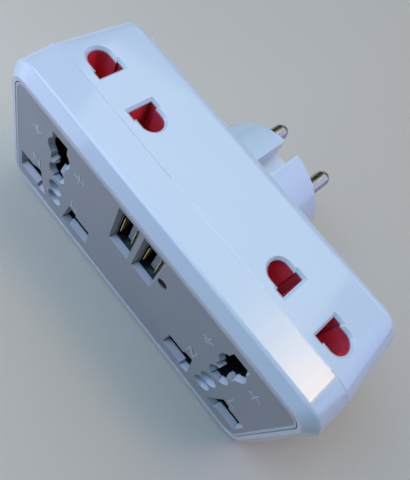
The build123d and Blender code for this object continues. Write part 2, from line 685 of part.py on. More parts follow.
def make_pin_retainer():
    """Dark disc inside the plug that holds both collars against its face."""
    front = PLUG_END - PLUG_FACE_T - PIN_COLLAR_T - RETAINER_T
    back = front + RETAINER_T
    disc = rod(0, MID_Z, PLUG_R - PLUG_WALL - RETAINER_GAP, front, back)
    for notch in plug_notches(front - THROUGH, back + THROUGH, PLUG_WALL + RETAINER_GAP):
        disc = disc - notch
    for x in (-PIN_X, PIN_X):
        disc = disc - rod(x, MID_Z, PIN_TAIL_R + PIN_GAP, front - THROUGH, back + THROUGH)
    return disc


def make_port_shell(x):
    """Folded steel shell of a charging port, open in front, with two latch windows a side."""
    outer = prism(Pos(x, PORT_Z) * Rectangle(SHELL_W, SHELL_H), SHELL_MOUTH, BOARD_Y)
    room = Pos(x, PORT_Z) * Rectangle(SHELL_W - 2 * SHELL_T, SHELL_H - 2 * SHELL_T)
    shell = outer - prism(room, SHELL_MOUTH - THROUGH, BOARD_Y + THROUGH)
    for z in (PORT_Z - LATCH_Z, PORT_Z + LATCH_Z):
        shell = shell - block(x - SHELL_W, x + SHELL_W, SHELL_MOUTH + LATCH_L, SHELL_MOUTH + 2 * LATCH_L,
                              z - LATCH_W / 2, z + LATCH_W / 2)
    return shell


def make_port_tongue(x):
    """Plastic body in a port's shell, with the thin tongue that carries its contacts."""
    fit = 2 * (SHELL_T + PORT_FIT)
    body = prism(Pos(x, PORT_Z) * Rectangle(SHELL_W - fit, SHELL_H - fit), PORT_BODY_FRONT, BOARD_Y)
    tongue = Pos(x + PORT_TONGUE_SHIFT, PORT_Z) * Rectangle(PORT_TONGUE_T, PORT_TONGUE_L)
    return body + prism(tongue, PORT_TONGUE_FRONT, PORT_BODY_FRONT + THROUGH)


def make_port_contacts(x):
    """Plated strips that lie side by side on the tongue's inner face."""
    face = x + PORT_TONGUE_SHIFT - PORT_TONGUE_T / 2
    strips = []
    for i in range(CONTACTS):
        z = PORT_Z + (i - (CONTACTS - 1) / 2) * CONTACT_PITCH
        strips.append(block(face - CONTACT_T, face, PORT_TONGUE_FRONT + CONTACT_SETBACK, PORT_BODY_FRONT,
                            z - CONTACT_W / 2, z + CONTACT_W / 2))
    return Compound(strips)


def make_indicator():
    """Indicator light: a lens with a foot flange, set a little back in the panel's round hole."""
    front = PANEL_RECESS + LED_RECESS
    lens = rod(LED_X, LED_Z, LED_R, front, LED_BACK)
    lens = chamfer(edges_at(lens, front), LED_EDGE)
    return lens + rod(LED_X, LED_Z, LED_FOOT_R, LED_FOOT_Y, LED_BACK)


def make_indicator_legs():
    """Two wire legs from the indicator to the board."""
    legs = []
    for x in (LED_X - LED_LEG_PITCH / 2, LED_X + LED_LEG_PITCH / 2):
        legs.append(block(x - LED_LEG / 2, x + LED_LEG / 2, LED_BACK, BOARD_Y,
                          LED_Z - LED_LEG / 2, LED_Z + LED_LEG / 2))
    return Compound(legs)


def make_board():
    """Circuit board that carries the ports, upright behind them."""
    return block(-BOARD_HALF, BOARD_HALF, BOARD_Y, BOARD_Y + BOARD_T, BOARD_LOW, BOARD_TOP)


def make_transformer():
    """Ferrite core and its winding: the winding fills the core's windows either side of its limb."""
    front = BOARD_Y - CORE_DEPTH
    frame = Pos(CORE_X, CORE_Z) * Rectangle(CORE_W, CORE_H)
    window = Pos(CORE_X, CORE_Z) * Rectangle(CORE_W - 2 * CORE_LIMB, CORE_H - 2 * CORE_LIMB)
    limb = Pos(CORE_X, CORE_Z) * Rectangle(CORE_LIMB, CORE_H)
    return prism(frame - window + limb, front, BOARD_Y), prism(window - limb, front, BOARD_Y)


def make_capacitors():
    """Two can capacitors that stand on the board's lower half."""
    cans = []
    for z in CAN_ZS:
        can = rod(CAN_X, z, CAN_R, BOARD_Y - CAN_H, BOARD_Y)
        cans.append(chamfer(edges_at(can, BOARD_Y - CAN_H), CAN_EDGE))
    return Compound(cans)


def make_case_screws():
    """Four identical screws: round head with a cross recess, plain shank."""
    seat_y = DEPTH - SCREW_SEAT
    head_y = seat_y + SCREW_HEAD_T
    screws = []
    for x in (-SCREW_X, SCREW_X):
        for z in SCREW_ZS:
            head = rod(x, z, SCREW_HEAD_R, seat_y, head_y)
            head = chamfer(edges_at(head, head_y), SCREW_EDGE)
            cross = Pos(x, z) * (Rectangle(CROSS_L, CROSS_W) + Rectangle(CROSS_W, CROSS_L))
            head = head - prism(cross, head_y - CROSS_DEPTH, head_y + THROUGH)
            screws.append(head + rod(x, z, SCREW_R, SCREW_TIP_Y, seat_y))
    return Compound(screws)


def build():
    """Every node of the adapter, by name."""
    nodes = {
        "front_cover": make_front_cover(),
        "rear_case": make_rear_case(),
        "front_panel": make_front_panel(),
        "live_strip": make_live_strip(),
        "neutral_strip": make_neutral_strip(),
        "earth_strip": make_earth_strip(),
        "live_pin": make_plug_pin(PIN_X, CARRIER_BACK + STRIP_T),
        "neutral_pin": make_plug_pin(-PIN_X, NEUTRAL_STRIP_Y + STRIP_T),
        "pin_retainer": make_pin_retainer(),
        "indicator_lens": make_indicator(),
        "indicator_legs": make_indicator_legs(),
        "port_board": make_board(),
        "capacitors": make_capacitors(),
        "case_screws": make_case_screws(),
    }
    nodes["transformer_core"], nodes["transformer_winding"] = make_transformer()
    for name, side in SIDES.items():
        x = side * SOCKET_X
        nodes[f"pin_guide_{name}"] = make_pin_guide(x)
        nodes[f"contact_carrier_{name}"] = make_contact_carrier(x)
        nodes[f"earth_clip_{name}"] = make_earth_clip(x)
        for line, line_side in (("neutral", -1), ("live", 1)):
            nodes[f"{line}_clip_{name}"] = make_line_clip(x, line_side)
            nodes[f"top_{line}_clip_{name}"] = make_top_clip(x, line_side)
    for name, x in zip(SIDES, PORT_X):
        nodes[f"port_shell_{name}"] = make_port_shell(x)
        nodes[f"port_tongue_{name}"] = make_port_tongue(x)
        nodes[f"port_contacts_{name}"] = make_port_contacts(x)
    return nodes


for node, shape in build().items():
    placed = Pos(0, -ORIGIN_Y, 0) * shape
    export_step(placed, f"parts/{node}.step")
    print(node, round(placed.volume, 1))
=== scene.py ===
import json
import logging
import math
from dataclasses import dataclass, field
from enum import Enum
from typing import Callable

import bmesh
import bpy
from mathutils import Matrix, Quaternion, Vector


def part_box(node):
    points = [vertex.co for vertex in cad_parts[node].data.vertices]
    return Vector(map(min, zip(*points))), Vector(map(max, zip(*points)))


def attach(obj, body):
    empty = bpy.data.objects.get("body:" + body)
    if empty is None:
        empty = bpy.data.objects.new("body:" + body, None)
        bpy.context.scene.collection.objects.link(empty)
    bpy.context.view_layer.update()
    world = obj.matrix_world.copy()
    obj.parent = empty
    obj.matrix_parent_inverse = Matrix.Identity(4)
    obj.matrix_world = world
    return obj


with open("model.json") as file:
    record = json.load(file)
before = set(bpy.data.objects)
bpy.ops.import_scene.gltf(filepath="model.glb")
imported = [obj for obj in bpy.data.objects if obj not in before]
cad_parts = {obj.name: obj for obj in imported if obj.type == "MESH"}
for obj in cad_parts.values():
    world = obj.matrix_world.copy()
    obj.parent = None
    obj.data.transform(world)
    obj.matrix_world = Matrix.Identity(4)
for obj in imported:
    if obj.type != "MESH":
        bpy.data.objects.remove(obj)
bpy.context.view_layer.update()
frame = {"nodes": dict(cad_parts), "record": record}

# Looks of a plug-in adapter: a long white housing with a grey socket panel, charging ports in the
# panel, red-lined slots in the top and a round two-pin plug behind. Lengths are in metres.

MM = 0.001
ROOT = "root"
BLACK = (0.0, 0.0, 0.0)
PLASTIC_IOR = 1.5
LOG = logging.getLogger("adapter")

Colour = tuple[float, float, float]
Place = tuple[float, float, float]
Point = tuple[float, float]
Ring = list[Point]

# Faces turned towards this direction take the panel's dark colour: paintwork on the front face,
# and painted shade on the hole walls that face right.
PAINT_AND_SHADE_FACING: Place = (0.45, -0.89, 0.0)
# Scale of a noise that is drawn out along X.
DRAWN: Place = (0.04, 1.0, 1.0)
# Along Y: where the inside of a red guide begins, and where the painted glow on its front half
# ends.
GUIDE_INSIDE: Point = (-19.9 * MM, -19.5 * MM)
GUIDE_HALF: Point = (-15.9 * MM, -15.3 * MM)
# How far the signs and the border reach into the panel under them.
SUNK = 0.05 * MM
# The point that most of the lights face.
HOUSING_MIDDLE: Place = (0.0, 0.0, 0.02)


class Side(Enum):
    """The left or the right one of two like pieces."""

    LEFT = "left"
    RIGHT = "right"


class Mark(Enum):
    """The signs moulded beside the holes of a socket."""

    EARTH = "earth"
    CROSS = "cross"
    NEUTRAL = "neutral"
    LIVE = "live"


def rgba(colour: Colour) -> tuple[float, float, float, float]:
    """Gives a colour its full alpha."""
    return (*colour, 1.0)


# Shader node groups


def new_group(name: str, inputs: dict[str, float], outputs: dict[str, str]) -> bpy.types.NodeTree:
    """Makes an empty shader node group.

    Args:
        name: The group's name.
        inputs: Each value input and its default.
        outputs: Each output and its socket type.

    Returns:
        The group, with its input and output nodes in place.
    """
    group = bpy.data.node_groups.new(name, "ShaderNodeTree")
    for label, default in inputs.items():
        socket = group.interface.new_socket(label, in_out="INPUT", socket_type="NodeSocketFloat")
        socket.default_value = default
    for label, kind in outputs.items():
        group.interface.new_socket(label, in_out="OUTPUT", socket_type=kind)
    group.nodes.new("NodeGroupInput")
    group.nodes.new("NodeGroupOutput")
    return group


@dataclass
class Wiring:
    """Adds nodes to a tree and joins them.

    Attributes:
        tree: The node tree that the nodes go into.
    """

    tree: bpy.types.NodeTree

    def node(self, kind: str, **settings: object) -> bpy.types.Node:
        """Adds a node and sets its properties.

        Args:
            kind: The node's type without its ShaderNode prefix.
            settings: Properties of the node.

        Returns:
            The node.
        """
        made = self.tree.nodes.new("ShaderNode" + kind)
        for key, value in settings.items():
            setattr(made, key, value)
        return made

    def join(self, source: bpy.types.NodeSocket, target: bpy.types.NodeSocket) -> None:
        """Links one socket to another."""
        self.tree.links.new(source, target)

    def feed(self, socket: bpy.types.NodeSocket, value: object) -> None:
        """Links a socket to another, or sets it to a constant.

        Args:
            socket: The input to feed.
            value: The socket to link it to, or the constant.
        """
        if isinstance(value, bpy.types.NodeSocket):
            self.join(value, socket)
        else:
            socket.default_value = value

    def maths(self, operation: str, *values: object, clamp: bool = False) -> bpy.types.NodeSocket:
        """Adds a Math node.

        Args:
            operation: The node's operation.
            values: Its inputs, as sockets or numbers.
            clamp: Whether the result stays between 0 and 1.

        Returns:
            The result's socket.
        """
        made = self.node("Math", operation=operation, use_clamp=clamp)
        for socket, value in zip(made.inputs, values):
            self.feed(socket, value)
        return made.outputs[0]

    def blend(self, factor: object, first: object, second: object) -> bpy.types.NodeSocket:
        """Mixes two colours.

        Args:
            factor: How much of the second colour, as a socket or a number.
            first: A colour or a socket.
            second: A colour or a socket.

        Returns:
            The mixed colour's socket.
        """
        made = self.node("Mix", data_type="RGBA")
        self.feed(made.inputs["Factor"], factor)
        for socket, value in ((made.inputs[6], first), (made.inputs[7], second)):
            self.feed(socket, rgba(value) if isinstance(value, tuple) else value)
        return made.outputs[2]

    def span(self, value: object, low: object, high: object, to_low: object = 0.0,
             to_high: object = 1.0) -> bpy.types.NodeSocket:
        """Maps a value from one range to another and clamps it.

        Args:
            value: The socket to map.
            low: Start of the range that it comes from, as a socket or a number.
            high: End of that range.
            to_low: Start of the range that it goes to.
            to_high: End of that range.

        Returns:
            The mapped value's socket.
        """
        made = self.node("MapRange")
        for socket, number in zip(made.inputs, (value, low, high, to_low, to_high)):
            self.feed(socket, number)
        return made.outputs[0]

    def noise(self, scale: object, detail: float = 2.0, drawn: bool = False,
              roughness: float = 0.5) -> bpy.types.NodeSocket:
        """Adds noise in the object's own coordinates.

        Args:
            scale: Features for each metre, as a socket or a number.
            detail: Number of finer octaves.
            drawn: Whether the noise is drawn out along X.
            roughness: Weight of the finer octaves.

        Returns:
            The noise value's socket.
        """
        place = self.node("TexCoord").outputs["Object"]
        if drawn:
            mapping = self.node("Mapping")
            mapping.inputs["Scale"].default_value = DRAWN
            self.join(place, mapping.inputs["Vector"])
            place = mapping.outputs[0]
        made = self.node("TexNoise")
        self.join(place, made.inputs["Vector"])
        self.feed(made.inputs["Scale"], scale)
        made.inputs["Detail"].default_value = detail
        made.inputs["Roughness"].default_value = roughness
        return made.outputs["Fac"]


def grain_group() -> bpy.types.NodeTree:
    """Makes spark-eroded mould grain: a fine height and a slow drift of the colour.

    Returns:
        The group.
    """
    group = new_group("mould_grain", {"Fineness": 5200.0, "Drift": 45.0},
                      {"Height": "NodeSocketFloat", "Drift": "NodeSocketFloat"})
    wiring = Wiring(group)
    given = group.nodes["Group Input"]
    made = group.nodes["Group Output"]
    fine = wiring.noise(given.outputs["Fineness"], detail=3.0, roughness=0.62)
    slow = wiring.noise(given.outputs["Drift"], detail=2.0)
    wiring.join(fine, made.inputs["Height"])
    wiring.join(wiring.span(slow, low=0.32, high=0.68), made.inputs["Drift"])
    return group


def handling_group() -> bpy.types.NodeTree:
    """Makes traces of handling: faint smears and hairline rubs that change the gloss.

    Returns:
        The group.
    """
    group = new_group("handling", {"Smears": 70.0, "Rubs": 900.0}, {"Dulling": "NodeSocketFloat"})
    wiring = Wiring(group)
    given = group.nodes["Group Input"]
    smears = wiring.noise(given.outputs["Smears"], detail=4.0, roughness=0.6)
    rubs = wiring.noise(given.outputs["Rubs"], detail=2.0, drawn=True)
    smears = wiring.span(smears, low=0.45, high=0.72)
    rubs = wiring.span(rubs, low=0.60, high=0.75, to_high=0.5)
    total = wiring.maths("ADD", smears, rubs, clamp=True)
    wiring.join(total, group.nodes["Group Output"].inputs["Dulling"])
    return group


def soft_edge_group() -> bpy.types.NodeTree:
    """Makes rounded edges: the normal near an edge, and a mask of where edges are.

    Returns:
        The group.
    """
    group = new_group("soft_edge", {"Radius": 0.0002},
                      {"Normal": "NodeSocketVector", "Edge": "NodeSocketFloat"})
    wiring = Wiring(group)
    given = group.nodes["Group Input"]
    made = group.nodes["Group Output"]
    bevel = wiring.node("Bevel", samples=6)
    wiring.join(given.outputs["Radius"], bevel.inputs["Radius"])
    likeness = wiring.node("VectorMath", operation="DOT_PRODUCT")
    wiring.join(bevel.outputs[0], likeness.inputs[0])
    wiring.join(wiring.node("NewGeometry").outputs["Normal"], likeness.inputs[1])
    wiring.join(bevel.outputs[0], made.inputs["Normal"])
    bent = wiring.span(likeness.outputs["Value"], low=0.995, high=0.80)
    wiring.join(bent, made.inputs["Edge"])
    return group


def turning_group() -> bpy.types.NodeTree:
    """Makes the fine lines of a cutting tool or a rolling mill, and a mask of dulled plating.

    Returns:
        The group.
    """
    group = new_group("tool_lines", {"Lines": 9000.0, "Dulling": 500.0},
                      {"Height": "NodeSocketFloat", "Dulling": "NodeSocketFloat"})
    wiring = Wiring(group)
    given = group.nodes["Group Input"]
    made = group.nodes["Group Output"]
    lines = wiring.noise(given.outputs["Lines"], detail=1.0, drawn=True)
    spots = wiring.noise(given.outputs["Dulling"], detail=4.0, roughness=0.65)
    wiring.join(lines, made.inputs["Height"])
    wiring.join(wiring.span(spots, low=0.45, high=0.75), made.inputs["Dulling"])
    return group


def painted_shade_group() -> bpy.types.NodeTree:
    """Makes painted shade in seams and holes: an ambient-occlusion mask of open surface, which
    darkens the colour there.

    Returns:
        The group.
    """
    group = new_group("painted_hollow_shade", {"Reach": 0.003, "Floor": 0.25}, {"Open": "NodeSocketFloat"})
    wiring = Wiring(group)
    given = group.nodes["Group Input"]
    shade = wiring.node("AmbientOcclusion", samples=6, only_local=False)
    wiring.join(given.outputs["Reach"], shade.inputs["Distance"])
    spread = wiring.maths("SUBTRACT", 1.0, given.outputs["Floor"])
    lifted = wiring.span(shade.outputs["AO"], low=0.30, high=0.85)
    lifted = wiring.maths("MULTIPLY", lifted, spread)
    opened = wiring.maths("ADD", lifted, given.outputs["Floor"])
    wiring.join(opened, group.nodes["Group Output"].inputs["Open"])
    return group


def shade_and_paint_group() -> bpy.types.NodeTree:
    """Makes a mask of faces turned to the front and a little to the right: paintwork on the front
    face, and painted shade on the hole walls that face right.

    Returns:
        The group.
    """
    group = new_group("shade_and_paint_facing", {"From": 0.60, "To": 0.74}, {"Paint": "NodeSocketFloat"})
    wiring = Wiring(group)
    given = group.nodes["Group Input"]
    facing = wiring.node("VectorMath", operation="DOT_PRODUCT")
    wiring.join(wiring.node("NewGeometry").outputs["True Normal"], facing.inputs[0])
    facing.inputs[1].default_value = PAINT_AND_SHADE_FACING
    mask = wiring.span(facing.outputs["Value"], given.outputs["From"], given.outputs["To"])
    wiring.join(mask, group.nodes["Group Output"].inputs["Paint"])
    return group


GROUPS: dict[str, Callable[[], bpy.types.NodeTree]] = {
    "mould_grain": grain_group, "handling": handling_group, "soft_edge": soft_edge_group,
    "tool_lines": turning_group, "shade_and_paint_facing": shade_and_paint_group, "painted_hollow_shade": painted_shade_group,
}


@dataclass
class Bench:
    """One material under construction: its wiring and its shader.

    Attributes:
        name: The material's name.
        material: The material.
        wiring: Joins its nodes.
        shader: Its Principled BSDF.
    """

    name: str
    material: bpy.types.Material = field(init=False)
    wiring: Wiring = field(init=False)
    shader: bpy.types.Node = field(init=False)

    def __post_init__(self) -> None:
        """Makes the material with a Principled BSDF in it."""
        self.material = bpy.data.materials.new(self.name)
        self.material.use_nodes = True
        self.wiring = Wiring(self.material.node_tree)
        self.shader = self.material.node_tree.nodes["Principled BSDF"]

    def group(self, name: str, **values: float) -> bpy.types.Node:
        """Places a shared group in the material.

        Args:
            name: The group's name.
            values: Its inputs, named as the group names them.

        Returns:
            The group node.
        """
        tree = bpy.data.node_groups.get(name) or GROUPS[name]()
        placed = self.wiring.node("Group", node_tree=tree)
        for label, value in values.items():
            placed.inputs[label].default_value = value
        return placed

    def set(self, label: str, value: object) -> None:
        """Feeds one of the shader's sockets with a constant or a link."""
        self.wiring.feed(self.shader.inputs[label], value)

    def relief(self, height: bpy.types.NodeSocket, depth: float,
               normal: bpy.types.NodeSocket | None = None) -> None:
        """Bumps the surface.

        Args:
            height: The height that changes over the surface.
            depth: What a height of 1 stands for, in metres.
            normal: The normal that the bump starts from, if not the mesh's own.
        """
        bump = self.wiring.node("Bump")
        bump.inputs["Strength"].default_value = 1.0
        bump.inputs["Distance"].default_value = depth
        self.wiring.join(height, bump.inputs["Height"])
        if normal is not None:
            self.wiring.join(normal, bump.inputs["Normal"])
        self.wiring.join(bump.outputs[0], self.shader.inputs["Normal"])


# Finishes


@dataclass(frozen=True)
class MouldedPlastic:
    """An injection-moulded plastic.

    Attributes:
        name: The material's name.
        colour: Its main colour.
        drifted: The colour that it drifts to in slow patches.
        edge: The colour along its edges, where the moulding is thin or rubbed.
        gloss_low: Roughness where it is cleanest.
        gloss_high: Roughness where it is most handled.
        grain: Depth of its mould grain.
        fineness: Grains for each metre.
        edge_radius: Radius that its sharp edges have.
        coat: Weight of its glossy skin.
        coat_roughness: Roughness of that skin.
        glow: Weight of the light that scatters inside it.
        scatter: How far that light goes.
        paint_and_shade_colour: The dark colour of faces turned to the front and a little to the
            right, if it has one: paintwork on the front face, and painted shade on hole walls that
            face right.
        painted_shade_floor: How much of its colour is left deep in its recesses, where shade is
            painted in.
        painted_glow: A painted glow on the front half of its inside, standing in for light that
            falls there, if it has one.
    """

    name: str
    colour: Colour
    drifted: Colour
    edge: Colour
    gloss_low: float
    gloss_high: float
    grain: float
    fineness: float = 5200.0
    edge_radius: float = 0.2 * MM
    coat: float = 0.0
    coat_roughness: float = 0.06
    glow: float = 0.0
    scatter: float = 0.6 * MM
    paint_and_shade_colour: Colour | None = None
    painted_shade_floor: float = 1.0
    painted_glow: Colour | None = None

    def make(self) -> bpy.types.Material:
        """Builds the material.

        Returns:
            The material.
        """
        bench = Bench(self.name)
        wiring = bench.wiring
        grain = bench.group("mould_grain", Fineness=self.fineness)
        handling = bench.group("handling")
        edge = bench.group("soft_edge", Radius=self.edge_radius)
        body = wiring.blend(grain.outputs["Drift"], self.colour, self.drifted)
        colour = wiring.blend(edge.outputs["Edge"], body, self.edge)
        # Paintwork on the front face, and painted shade on the hole walls that face right.
        if self.paint_and_shade_colour is not None:
            colour = wiring.blend(bench.group("shade_and_paint_facing").outputs["Paint"], colour, self.paint_and_shade_colour)
        # Painted shade: the colour darkens towards black in seams and holes.
        if self.painted_shade_floor < 1.0:
            opened = bench.group("painted_hollow_shade", Floor=self.painted_shade_floor).outputs["Open"]
            colour = wiring.blend(opened, BLACK, colour)
        bench.set("Base Color", colour)
        # Painted glow: the front half of the red guides' inside gives off light, standing in for
        # light that falls on it.
        if self.painted_glow is not None:
            bench.set("Emission Color", wiring.blend(self.painted_glow_mask(wiring), BLACK, self.painted_glow))
            bench.set("Emission Strength", 1.0)
        bench.set("Roughness", wiring.span(handling.outputs["Dulling"], 0.0, 1.0,
                                           self.gloss_low, self.gloss_high))
        bench.set("IOR", PLASTIC_IOR)
        bench.set("Coat Weight", self.coat)
        bench.set("Coat Roughness", self.coat_roughness)
        rounded = wiring.node("Bevel", samples=6)
        rounded.inputs["Radius"].default_value = self.edge_radius
        bench.set("Coat Normal", rounded.outputs[0])
        bench.set("Subsurface Weight", self.glow)
        bench.set("Subsurface Radius", (1.0, 1.0, 1.0))
        bench.set("Subsurface Scale", self.scatter)
        bench.relief(grain.outputs["Height"], self.grain, edge.outputs["Normal"])
        return bench.material

    def painted_glow_mask(self, wiring: Wiring) -> bpy.types.NodeSocket:
        """Finds the front half of the inside of the red guides, where the glow is painted.

        Args:
            wiring: The wiring of the material.

        Returns:
            The mask's socket.
        """
        place = wiring.node("SeparateXYZ")
        wiring.join(wiring.node("NewGeometry").outputs["Position"], place.inputs[0])
        front = wiring.span(place.outputs["Y"], *GUIDE_HALF, 1.0, 0.0)
        inside = wiring.span(place.outputs["Y"], *GUIDE_INSIDE)
        return wiring.maths("MULTIPLY", front, inside)


@dataclass(frozen=True)
class PlatedMetal:
    """A plated, drawn or rolled metal.

    Attributes:
        name: The material's name.
        colour: Its main colour.
        dulled: Its colour where the surface has dulled.
        gloss_low: Roughness where it is bright.
        gloss_high: Roughness where it is dull.
        lines: Tool or mill lines for each metre.
        depth: Depth of those lines.
        edge_radius: Radius that its sharp edges have.
    """

    name: str
    colour: Colour
    dulled: Colour
    gloss_low: float
    gloss_high: float
    lines: float = 9000.0
    depth: float = 0.002 * MM
    edge_radius: float = 0.12 * MM

    def make(self) -> bpy.types.Material:
        """Builds the material.

        Returns:
            The material.
        """
        bench = Bench(self.name)
        wiring = bench.wiring
        tooled = bench.group("tool_lines", Lines=self.lines)
        edge = bench.group("soft_edge", Radius=self.edge_radius)
        dulling = tooled.outputs["Dulling"]
        bench.set("Base Color", wiring.blend(dulling, self.colour, self.dulled))
        bench.set("Roughness", wiring.span(dulling, 0.0, 1.0, self.gloss_low, self.gloss_high))
        bench.set("Metallic", 1.0)
        bench.relief(tooled.outputs["Height"], self.depth, edge.outputs["Normal"])
        return bench.material


@dataclass(frozen=True)
class TintedLens:
    """A dark tinted lens whose light is out.

    Attributes:
        name: The material's name.
        colour: Its main colour.
        drifted: The colour that it drifts to in patches.
        roughness: Its roughness.
        shine: How strongly it mirrors.
        grain: Depth of its mould grain.
    """

    name: str
    colour: Colour
    drifted: Colour
    roughness: float = 0.5
    shine: float = 0.05
    grain: float = 0.001 * MM

    def make(self) -> bpy.types.Material:
        """Builds the material.

        Returns:
            The material.
        """
        bench = Bench(self.name)
        grain = bench.group("mould_grain", Fineness=2500.0, Drift=900.0)
        colour = bench.wiring.blend(grain.outputs["Drift"], self.colour, self.drifted)
        bench.set("Base Color", colour)
        bench.set("Roughness", self.roughness)
        bench.set("Specular IOR Level", self.shine)
        bench.relief(grain.outputs["Height"], self.grain)
        return bench.material


FINISHES = {finish.name: finish for finish in (
    MouldedPlastic(
        "white_shell", (0.70, 0.77, 0.87), (0.68, 0.755, 0.86), (0.78, 0.84, 0.93),
        gloss_low=0.28, gloss_high=0.34, grain=0.0012 * MM, fineness=1800.0, coat=0.8, glow=0.15),
    # Near-white finish of the seam bead: a painted highlight along the parting line.
    MouldedPlastic(
        "seam_edge", (0.93, 0.95, 0.97), (0.90, 0.92, 0.95), (0.96, 0.97, 0.98),
        gloss_low=0.30, gloss_high=0.40, grain=0.001 * MM, edge_radius=0.05 * MM, coat=0.8),
    MouldedPlastic(
        "grey_panel", (0.62, 0.66, 0.73), (0.59, 0.63, 0.70), (0.68, 0.72, 0.78),
        gloss_low=0.34, gloss_high=0.44, grain=0.008 * MM, fineness=3800.0,
        paint_and_shade_colour=(0.36, 0.375, 0.41), painted_shade_floor=0.10),
    MouldedPlastic(
        "panel_sign", (0.62, 0.66, 0.72), (0.60, 0.64, 0.70), (0.66, 0.70, 0.76),
        gloss_low=0.30, gloss_high=0.40, grain=0.003 * MM, edge_radius=0.05 * MM),
    MouldedPlastic(
        "red_moulding", (0.74, 0.100, 0.150), (0.69, 0.090, 0.140), (0.80, 0.22, 0.28),
        gloss_low=0.22, gloss_high=0.34, grain=0.002 * MM, coat=0.5, glow=0.2, painted_shade_floor=0.35,
        painted_glow=(0.115, 0.001, 0.004)),
    MouldedPlastic(
        "dark_moulding", (0.012, 0.012, 0.014), (0.016, 0.016, 0.018), (0.03, 0.03, 0.033),
        gloss_low=0.45, gloss_high=0.6, grain=0.004 * MM),
    MouldedPlastic(
        "port_plastic", (0.27, 0.31, 0.36), (0.25, 0.29, 0.34), (0.34, 0.38, 0.43),
        gloss_low=0.35, gloss_high=0.45, grain=0.003 * MM),
    MouldedPlastic(
        "can_sleeve", (0.02, 0.02, 0.03), (0.03, 0.03, 0.045), (0.05, 0.05, 0.06),
        gloss_low=0.3, gloss_high=0.4, grain=0.002 * MM),
    MouldedPlastic(
        "board", (0.02, 0.10, 0.04), (0.03, 0.13, 0.05), (0.20, 0.18, 0.10),
        gloss_low=0.25, gloss_high=0.4, grain=0.003 * MM),
    MouldedPlastic(
        "winding_tape", (0.60, 0.42, 0.04), (0.55, 0.38, 0.03), (0.65, 0.5, 0.1),
        gloss_low=0.25, gloss_high=0.4, grain=0.003 * MM),
    MouldedPlastic(
        "ferrite", (0.03, 0.03, 0.032), (0.04, 0.04, 0.042), (0.07, 0.07, 0.075),
        gloss_low=0.5, gloss_high=0.7, grain=0.01 * MM),
    PlatedMetal("plated_steel", (0.56, 0.51, 0.42), (0.42, 0.39, 0.33), 0.26, 0.42),
    PlatedMetal("brass", (0.78, 0.56, 0.24), (0.60, 0.40, 0.16), 0.22, 0.42),
    PlatedMetal("port_steel", (0.13, 0.14, 0.16), (0.08, 0.085, 0.10), 0.30, 0.45),
    PlatedMetal("contact_gold", (0.40, 0.38, 0.31), (0.31, 0.29, 0.22), 0.36, 0.50),
    PlatedMetal("screw_steel", (0.50, 0.50, 0.49), (0.35, 0.35, 0.34), 0.3, 0.5),
    TintedLens("indicator_red", (0.045, 0.010, 0.012), (0.070, 0.012, 0.014)),
)}


def dress_nodes() -> None:
    """Gives each CAD node the finish of its material slot."""
    made = {name: finish.make() for name, finish in FINISHES.items()}
    for entry in frame["record"]["subparts"]:
        piece = frame["nodes"][entry["node"]]
        piece.data.materials.clear()
        piece.data.materials.append(made[entry["material_slot"]])
        LOG.info("dressed %s as %s", entry["node"], entry["material_slot"])


# Signs, springs and trim

# Width of each sign as a share of its height.
MARK_WIDTHS = {Mark.LIVE: 0.62, Mark.NEUTRAL: 0.74, Mark.CROSS: 1.0, Mark.EARTH: 0.9}
# Where the slanted stroke of an N meets its posts, as shares of its height.
SLANT = (0.68, 0.32)
# Height of the earth sign's long bar, as a share of the sign's own.
EARTH_BAR = 0.48
# Width and height of its two short bars, as shares of the sign's own.
SHORT_BARS = ((0.62, 0.24), (0.26, 0.0))


def draw_live(w: float, h: float, s: float) -> list[Ring]:
    """Draws an L from its width, height and stroke."""
    return [[(0, 0), (w, 0), (w, s), (s, s), (s, h), (0, h)]]


def draw_neutral(w: float, h: float, s: float) -> list[Ring]:
    """Draws an N from its width, height and stroke."""
    low, high = (share * h for share in SLANT)
    return [[(0, 0), (s, 0), (s, low), (w - s, 0), (w, 0), (w, h), (w - s, h), (w - s, high),
             (s, h), (0, h)]]


def draw_cross(w: float, h: float, s: float) -> list[Ring]:
    """Draws a cross from its width, height and stroke."""
    a, b = (h - s) / 2, (h + s) / 2
    return [[(a, 0), (b, 0), (b, a), (w, a), (w, b), (b, b), (b, h), (a, h), (a, b), (0, b),
             (0, a), (a, a)]]


def draw_earth(w: float, h: float, s: float) -> list[Ring]:
    """Draws the sign for earth from its width, height and stroke.

    Args:
        w: The sign's width.
        h: Its height.
        s: Width of its strokes.

    Returns:
        The stem with its long bar, and the two short bars below it.
    """
    low = EARTH_BAR * h
    a, b = (w - s) / 2, (w + s) / 2
    rings = [[(0, low), (w, low), (w, low + s), (b, low + s), (b, h), (a, h), (a, low + s),
              (0, low + s)]]
    for share, rise in SHORT_BARS:
        x0, x1, z = w * (1 - share) / 2, w * (1 + share) / 2, rise * h
        rings.append([(x0, z), (x1, z), (x1, z + s), (x0, z + s)])
    return rings


DRAWINGS: dict[Mark, Callable[[float, float, float], list[Ring]]] = {
    Mark.LIVE: draw_live, Mark.NEUTRAL: draw_neutral, Mark.CROSS: draw_cross,
    Mark.EARTH: draw_earth,
}


